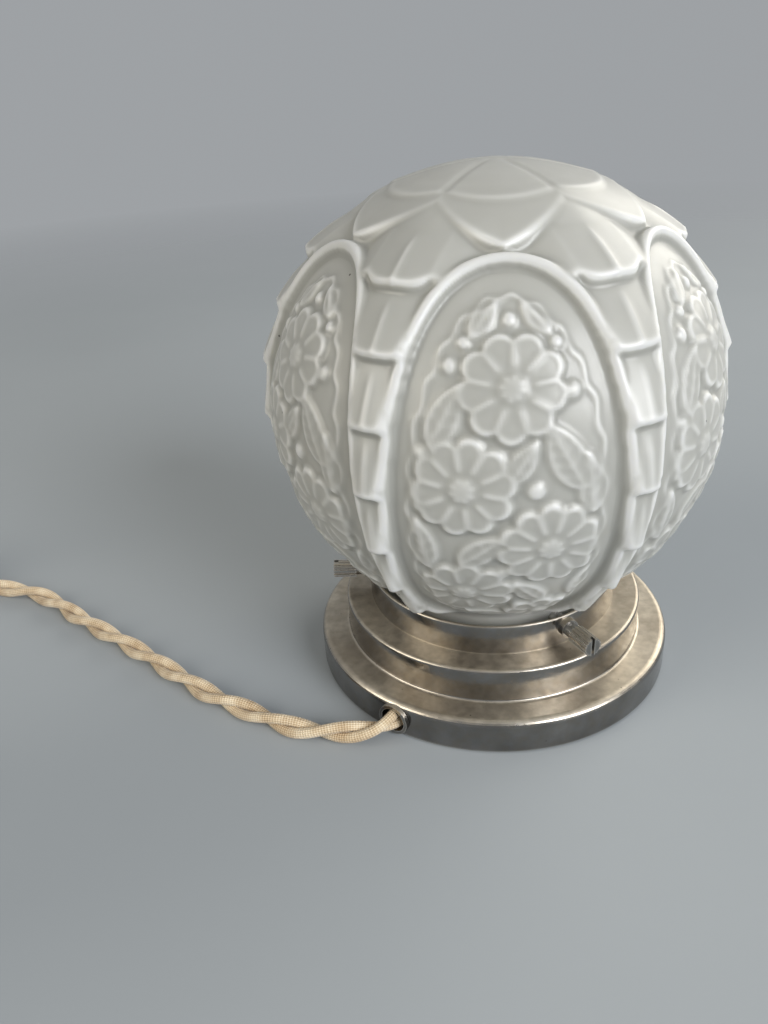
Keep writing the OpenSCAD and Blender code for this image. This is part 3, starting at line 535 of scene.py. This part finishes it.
# Tie: a woven band round the coil, with its end laid over itself
def make_tie():
    tie_turn = math.radians(225)
    low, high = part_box("cord_tie")
    thick, wide, clear = 0.8, 9.0, 3.8
    outer_turn = COIL_R - COIL_STEP / 8
    outer = outer_turn + clear + thick / 2
    inner = outer_turn - 3 * COIL_STEP - clear - thick / 2
    bottom = low.z / MM + thick / 2
    top = high.z / MM - thick / 2
    round_r = 3.0
    corners = [(outer, bottom, -90), (outer, top, 0), (inner, top, 90), (inner, bottom, 180)]
    loop = []
    for x, z, start in corners:
        cx = x + math.copysign(round_r, (outer + inner) / 2 - x)
        cz = z + math.copysign(round_r, (top + bottom) / 2 - z)
        for k in range(7):
            a = math.radians(start + 15 * k)
            loop.append((cx + round_r * math.cos(a), cz + round_r * math.sin(a)))
    overlap = 9
    loop = np.array(loop + loop[:overlap])
    tangent = np.gradient(loop, axis=0)
    tangent /= np.linalg.norm(tangent, axis=1)[:, None]
    out = np.column_stack([tangent[:, 1], -tangent[:, 0]])
    lift = np.where(np.arange(len(loop)) >= len(loop) - overlap, thick, 0)
    lift[-overlap - 2:-overlap] = thick / 2
    across = np.linspace(-1, 1, 9)
    edge = np.sqrt(np.clip(1 - np.abs(across) ** 6, 0, 1)) * 0.5 + 0.1
    points = []
    for (x, z), (ox, oz), up in zip(loop, out, lift):
        for sign in (1, -1):
            for v, half in zip(across[::sign], edge):
                r = x + ox * (up + sign * half * thick * 0.8)
                h = z + oz * (up + sign * half * thick * 0.8)
                along = v * wide / 2
                points.append((
                    COIL_X + r * math.cos(tie_turn) - along * math.sin(tie_turn),
                    COIL_Y + r * math.sin(tie_turn) + along * math.cos(tie_turn), max(h, 0.02),
                ))
    ring = 2 * len(across)
    faces = [
        (i * ring + k, i * ring + (k + 1) % ring, (i + 1) * ring + (k + 1) % ring, (i + 1) * ring + k)
        for i in range(len(loop) - 1) for k in range(ring)
    ]
    faces += [tuple(range(ring)), tuple(range((len(loop) - 1) * ring, len(loop) * ring))[::-1]]
    tie = add_piece("coil_tie", points, faces, "black_tie")
    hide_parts("cord_tie")
    return tie


tie = make_tie()


# Globe: the moulding's height over a plain ball, from a longitude counted from the front and a latitude
GLOBE_R = 60.5
GLOBE_Z = 81.49
SKIN_R = 61.7
PANEL_LON = 3.4
SPACING = 60.0


def fold(lon):
    """A longitude counted from the nearest of the six evenly spaced ones."""
    return (lon + SPACING / 2) % SPACING - SPACING / 2


def ease(t):
    t = np.clip(t, 0, 1)
    return t * t * (3 - 2 * t)


def over(lower, upper, rise, width):
    """A sheet that ends in a rounded lip, laid over another: rise is the way up from the lip, in mm."""
    cover = ease(rise / width)
    return lower * (1 - cover) + upper * cover


def highest(a, b, soft):
    """The higher of two surfaces, with the crease between them rounded."""
    near = np.clip(0.5 + 0.5 * (a - b) / soft, 0, 1)
    return b + (a - b) * near + soft * near * (1 - near)


def scales(x, lat):
    """A column of overlapping scales, each rising to a lip at its lower end, creased down its middle."""
    top, step = 56.0, 14.6
    hang = 1.3 * np.clip(1 - (x / 7.0) ** 4, -0.6, 1)
    place = (top - lat - hang) / step
    t = np.clip(np.where(place < 0, 0, place % 1), 0, 1)
    rise = (1 - t) * step * math.radians(1) * SKIN_R
    crease = 0.55 * np.exp(-np.abs(x) / 0.9) * ease(t * 2.5)
    face = 0.9 + 2.3 * t ** 1.2 - 0.014 * x ** 2 + crease
    return over(0.8, face, rise, 1.2)


def arch_way(x, y):
    """Distance outwards from the middle of a panel's rounded rim, in mm, less than 0 inside it."""
    half, middle = 29.0, -8.0
    tall = np.where(y > middle, 60.4, 58.0)
    u, v = x / half, (y - middle) / tall
    size = np.sqrt(u ** 2 + v ** 2) + 1e-6
    slope = np.sqrt((u / half) ** 2 + (v / tall) ** 2) / size + 1e-6
    return (size - 1) / slope


def ridge(way, width):
    """A thin rounded line, 1 high where the distance from it is 0."""
    return np.exp(-((way / width) ** 2))


def blossom(x, y, cx, cy, r, petals, turn):
    """An open flower: smooth petals with raised ribs and rims, round a beaded heart."""
    dx, dy = x - cx, y - cy
    rho = np.hypot(dx, dy)
    ang = np.arctan2(dy, dx) + turn
    lobe = np.abs(np.cos(petals * ang / 2))
    edge = r * (0.84 + 0.16 * lobe ** 0.7)
    body = np.clip(1 - (rho / edge) ** 8, 0, 1) ** 0.5
    petal = body * (0.75 + 0.35 * rho / r)
    rib = body * ridge(2 * rho * lobe / petals, 0.55) * ease((rho / r - 0.25) / 0.2)
    rim = ridge(rho - edge + 0.9, 0.6)
    heart_r = 0.27 * r
    heart = np.sqrt(np.clip(1 - (rho / heart_r) ** 2, 0, 1))
    bead = 0.25 * np.cos(8 * ang) * ridge(rho / heart_r - 0.62, 0.25)
    return petal + 0.45 * np.maximum(rib, rim) + 0.75 * heart + bead


def leaf(x, y, cx, cy, length, width, turn):
    """A pointed leaf, smooth, with a raised rim, midrib and slanting veins."""
    dx, dy = x - cx, y - cy
    u = (dx * math.cos(turn) + dy * math.sin(turn)) / length
    v = dy * math.cos(turn) - dx * math.sin(turn)
    half = width / 2 * np.clip(1 - (2 * u) ** 2, 0, 1) ** 0.7 * (1 - 0.5 * u) + 1e-6
    body = np.clip(1 - (v / half) ** 4, 0, 1) ** 0.5
    vein = 0.5 + 0.5 * np.cos(TURN * (u * length - np.abs(v)) / 3.2)
    lines = np.maximum(ridge(np.abs(v) - half + 0.8, 0.5), ridge(v, 0.55))
    return body * (0.6 + 0.4 * np.maximum(lines, 0.5 * vein ** 4))


def bud(x, y, cx, cy, r):
    rho = np.hypot(x - cx, y - cy) / r
    return 1.0 * np.sqrt(np.clip(1 - rho ** 2, 0, 1))


# A panel's garland, in mm from the panel's middle: flowers, leaves and round buds
FLOWERS = [
    (1.0, 23.5, 12.5, 9, 0.2), (-10.0, 1.0, 12.6, 10, 0.5), (10.4, -15.5, 13.0, 11, 0.1),
    (-9.6, -33.0, 12.8, 10, 0.4), (10.0, -47.0, 9.6, 8, 0.0),
]
LEAVES = [
    (13.0, 8.0, 19, 9.0, 2.1), (19.0, 1.0, 16, 7.0, 1.7), (-13.6, 17.6, 17, 8.0, 1.1),
    (-19.6, -15.4, 17, 7.4, 1.75), (-5.8, -16.4, 14, 8.0, 0.75), (19.6, -32.4, 16, 7.4, 1.45),
    (6.2, -33.6, 14, 7.6, 2.2), (-3.0, -50.4, 14, 6.0, 2.75), (6.2, 39.0, 11, 5.6, 2.2),
    (-4.8, 38.8, 11, 5.6, 1.0), (3.4, 7.4, 12, 6.6, 1.0),
]
BUDS = [
    (6.4, 0.4, 2.4), (-20.6, -3.4, 2.2), (-0.4, -24.0, 2.3), (22.4, -13.0, 2.0), (4.4, -41.2, 2.1),
    (-21.4, -26.6, 1.9), (-12.4, 28.4, 2.0), (14.0, 22.4, 2.2), (0.6, 38.4, 1.8), (18.6, -43.0, 1.9),
    (-19.0, 8.8, 2.0), (-16.6, -46.0, 1.9), (10.6, 33.0, 1.8), (-9.2, 33.4, 1.7),
]


def garland(x, y):
    height = np.zeros_like(x)
    for one in LEAVES:
        height = np.maximum(height, leaf(x, y, *one))
    for one in BUDS:
        height = np.maximum(height, bud(x, y, *one))
    for one in FLOWERS:
        height = np.maximum(height, blossom(x, y, *one))
    return height


def moulding(lon, lat):
    """Height of the moulding in mm: panels sunk behind a rounded rim, scales between them, petals on top."""
    sunk = 1.2
    mm_per_degree = math.radians(1) * SKIN_R
    across = mm_per_degree * np.cos(np.radians(lat))
    panel, column = fold(lon - PANEL_LON), fold(lon - PANEL_LON - SPACING / 2)
    x, y, x_column = panel * across, lat * mm_per_degree, column * across
    petal_edge = 48.5 + 13.5 * (np.abs(panel) / 30) ** 1.1
    petal_rise = (lat - petal_edge) * mm_per_degree * 0.75
    petal = 0.5 + 0.9 * np.exp(-np.clip(petal_rise, 0, 40) / 5)
    crown_edge = 63.0 + 2.5 * (np.abs(panel) / 30) ** 2
    crown_rise = (lat - crown_edge) * mm_per_degree
    seam = np.exp(-((30 - np.abs(panel)) * across / 1.2) ** 2)
    crown = 0.4 + 1.1 * np.exp(-np.clip(crown_rise, 0, 40) / 6) - 0.35 * seam * ease((88 - lat) / 6)
    outside = over(scales(x_column, lat), petal, petal_rise, 2.2)
    outside = over(outside, crown, crown_rise, 2.2)
    way = arch_way(x, y)
    band = 6.2 + 3 * ease((y - 10) / 45)
    wavy = band + 0.5 * np.sin(28 * np.arctan2(y + 8, 2 * x))
    border = 0.8 * np.exp(-((way + wavy) / 0.65) ** 2)
    inside = border + ease((-way - band - 0.2) / 1.6) * (0.3 + 1.05 * garland(x, y)) - sunk
    rim = 2.8 * np.sqrt(np.clip(1 - (way / 1.7) ** 2, 0, 1)) - sunk
    height = highest(np.where(way > 0, outside, inside), rim, 0.35)
    return height * ease((lat + 57.5) / 7)


def blurred(height, times):
    """The height with its edges softened, as etching leaves them."""
    for _ in range(times):
        height = (np.roll(height, 1, axis=1) + 2 * height + np.roll(height, -1, axis=1)) / 4
        rows = np.vstack([height[:1], height, height[-1:]])
        height = (rows[:-2] + 2 * height + rows[2:]) / 4
    return height


def make_globe():
    """The whole shade: moulded outside, neck with its lip, and the plain inside."""
    columns = 540
    neck_r, lip_r, bore_r, inner_r = 31.6, 34.0, 28.0, 56.5
    foot = -math.degrees(math.acos(neck_r / GLOBE_R))
    lat = np.concatenate([
        np.linspace(89.5, 70, 20, endpoint=False), np.linspace(70, -48, 222, endpoint=False),
        np.linspace(-48, foot, 14),
    ])
    lon = np.arange(columns) * 360 / columns
    spread, tall = np.meshgrid(lon, lat)
    height = blurred(moulding(spread, tall), 1)
    r = GLOBE_R + height
    rows_r = [r * np.cos(np.radians(tall))]
    rows_z = [GLOBE_Z + r * np.sin(np.radians(tall))]
    neck_top = GLOBE_Z + GLOBE_R * math.sin(math.radians(foot))
    seat = 21.7
    neck = [
        (neck_r, neck_top - 1.5), (neck_r, seat + 2.6), (neck_r + 0.2, seat + 2.0),
        (neck_r + 0.8, seat + 1.75), (lip_r - 0.4, seat + 1.7), (lip_r, seat + 1.3), (lip_r, seat + 0.4),
        (lip_r - 0.4, seat), (bore_r + 0.4, seat), (bore_r, seat + 0.4),
    ]
    start = -math.degrees(math.acos(bore_r / inner_r))
    lining = [
        (inner_r * math.cos(a), GLOBE_Z + inner_r * math.sin(a))
        for a in np.radians(np.linspace(start, 89, 48))
    ]
    for ring_r, ring_z in neck + lining:
        rows_r.append(np.full((1, columns), ring_r))
        rows_z.append(np.full((1, columns), ring_z))
    ring_r, ring_z = np.vstack(rows_r), np.vstack(rows_z)
    turn = np.radians(lon)
    points = np.stack([ring_r * np.sin(turn), -ring_r * np.cos(turn), ring_z], axis=2).reshape(-1, 3)
    top_r = GLOBE_R + float(moulding(np.array([0.0]), np.array([89.9]))[0])
    poles = [(0, 0, GLOBE_Z + top_r), (0, 0, GLOBE_Z + inner_r)]
    count = len(ring_r)
    after = np.roll(np.arange(columns), -1)
    here = np.arange(count - 1)[:, None] * columns
    quads = np.stack([
        here + np.arange(columns), here + columns + np.arange(columns), here + columns + after, here + after,
    ], axis=2).reshape(-1, 4).tolist()
    pole_top, pole_in = len(points), len(points) + 1
    last = (count - 1) * columns
    fans = [(pole_top, k, (k + 1) % columns) for k in range(columns)]
    fans += [(pole_in, last + (k + 1) % columns, last + k) for k in range(columns)]
    globe = add_piece("moulded_globe", np.vstack([points, poles]), quads + fans, "frosted_glass")
    # crest values: the glass's colour turns them into painted highlight on ridges and painted shade in
    # hollows
    crest = np.zeros(len(points) + len(poles))
    crest[:height.size] = (height - blurred(height, 5)).ravel()
    globe.data.attributes.new("crest", "FLOAT", "POINT").data.foreach_set("value", crest)
    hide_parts("glass_shade")


make_globe()


# Felt: a disc with a soft edge, pressed down under the cord's bush
def make_felt():
    outer, thick = 51.7, 1.4
    columns = 160
    profile = [
        (0.6 * outer, 0.02), (outer - 0.5, 0.02), (outer - 0.1, 0.3), (outer, 0.7), (outer - 0.15, 1.1),
        (outer - 0.6, thick), (0.6 * outer, thick),
    ]
    hole = math.radians(-119)
    points = []
    for k in range(columns):
        a = TURN * k / columns
        ragged = 0.12 * math.sin(23 * a) + 0.08 * math.sin(57 * a + 1)
        for r, z in profile:
            out = r + ragged * (r > 0.9 * outer)
            x, y = out * math.cos(a), out * math.sin(a)
            aside = abs(x * math.sin(hole) - y * math.cos(hole))
            near = aside < 4.5 and x * math.cos(hole) + y * math.sin(hole) > 40
            points.append((x, y, min(z, 0.9) if near else z))
    wide = len(profile)
    faces = [
        (k * wide + i, (k + 1) % columns * wide + i, (k + 1) % columns * wide + i + 1, k * wide + i + 1)
        for k in range(columns) for i in range(wide - 1)
    ]
    faces.append(tuple(k * wide for k in range(columns))[::-1])
    faces.append(tuple(k * wide + wide - 1 for k in range(columns)))
    felt = add_piece("felt_foot", points, faces, "felt")
    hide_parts("felt_pad")


make_felt()


# Inner leads: two round insulated cores from the cord up through the nipple
def make_leads():
    radius = 1.4
    points, faces, uv = [], [], []
    for s in (-1, 1):
        route = [
            (-20.6 + 1.2 * s, -40.5 - s, 5.2), (-17 + 1.2 * s, -36 - s, 5.4),
            (-11 + 1.4 * s, -25 - 0.6 * s, 6.5), (-5 + 1.6 * s, -12, 8), (-1.5 + 1.6 * s, -3.5, 11),
            (1.6 * s, 0, 15.1), (1.6 * s, 0, 20.5), (1.6 * s, 0, 24.3), (1.6 * s, 0, 32.3),
            (2.2 * s, 0, 33.9), (3.2 * s, 0, 35.3), (4.8 * s, 0, 35.3),
        ]
        p, f, m = tube(smooth_route(route, 1.2), radius, 12)
        base = sum(len(q) for q in points)
        points.append(p)
        uv.append(m)
        faces += [tuple(i + base for i in face) for face in f]
    leads = add_piece("core_leads", np.vstack(points), faces, "lead_insulation", np.vstack(uv))
    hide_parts("inner_leads")


make_leads()


# Stage: a pale floor that fades into the pale surround, and soft lamps
def make_stage():
    wide, fade_from, fade_to = 1600.0, 430.0, 1000.0
    look = Look("stage_floor", Roughness=0.9, Specular_IOR_Level=0.2)
    look.set("Base Color", look.clouds(300.0, (0.335, 0.362, 0.384), (0.362, 0.389, 0.411)))
    away = look.node("ShaderNodeVectorMath", {0: look.place()}, operation="LENGTH").outputs["Value"]
    look.set("Alpha", look.spread(away, fade_from * MM, fade_to * MM, 1, 0))
    mesh = bpy.data.meshes.new("stage_floor")
    half = wide * MM
    corners = [(-half, -half, 0), (half, -half, 0), (half, half, 0), (-half, half, 0)]
    mesh.from_pydata(corners, [], [(0, 1, 2, 3)])
    mesh.materials.append(look.material)
    floor = bpy.data.objects.new("stage_floor", mesh)
    scene.collection.objects.link(floor)


def add_lamp(name, place, size, watts, colour):
    data = bpy.data.lights.new(name, "AREA")
    data.shape = "DISK"
    data.spread = math.radians(115)
    data.size = size
    data.energy = watts
    data.color = colour
    lamp = bpy.data.objects.new(name, data)
    scene.collection.objects.link(lamp)
    lamp.location = place
    lamp.rotation_euler = (Vector((0, 0, 0.07)) - Vector(place)).to_track_quat("-Z", "Y").to_euler()


def make_world():
    world = bpy.data.worlds.new("surround")
    world.use_nodes = True
    scene.world = world
    tree = world.node_tree
    back = tree.nodes["Background"]
    back.inputs["Color"].default_value = (0.66, 0.69, 0.72, 1)
    wires = Wires()
    wires.tree = tree
    rays = wires.node("ShaderNodeLightPath").outputs
    mirrored = wires.math("MAXIMUM", rays["Is Glossy Ray"], rays["Is Transmission Ray"])
    seen = wires.math("MAXIMUM", mirrored, rays["Is Camera Ray"])
    tree.links.new(wires.spread(seen, 0, 1, 0.3, 0.52), back.inputs["Strength"])


make_stage()
add_lamp("key_lamp", (1.34, -1.14, 0.82), 1.3, 17, (0.98, 0.99, 1.0))
add_lamp("fill_lamp", (-1.42, -0.84, 0.8), 1.3, 7, (1.0, 0.94, 0.82))
add_lamp("back_lamp", (1.0, 0.95, 0.75), 1.3, 6, (1.0, 0.96, 0.87))
make_world()
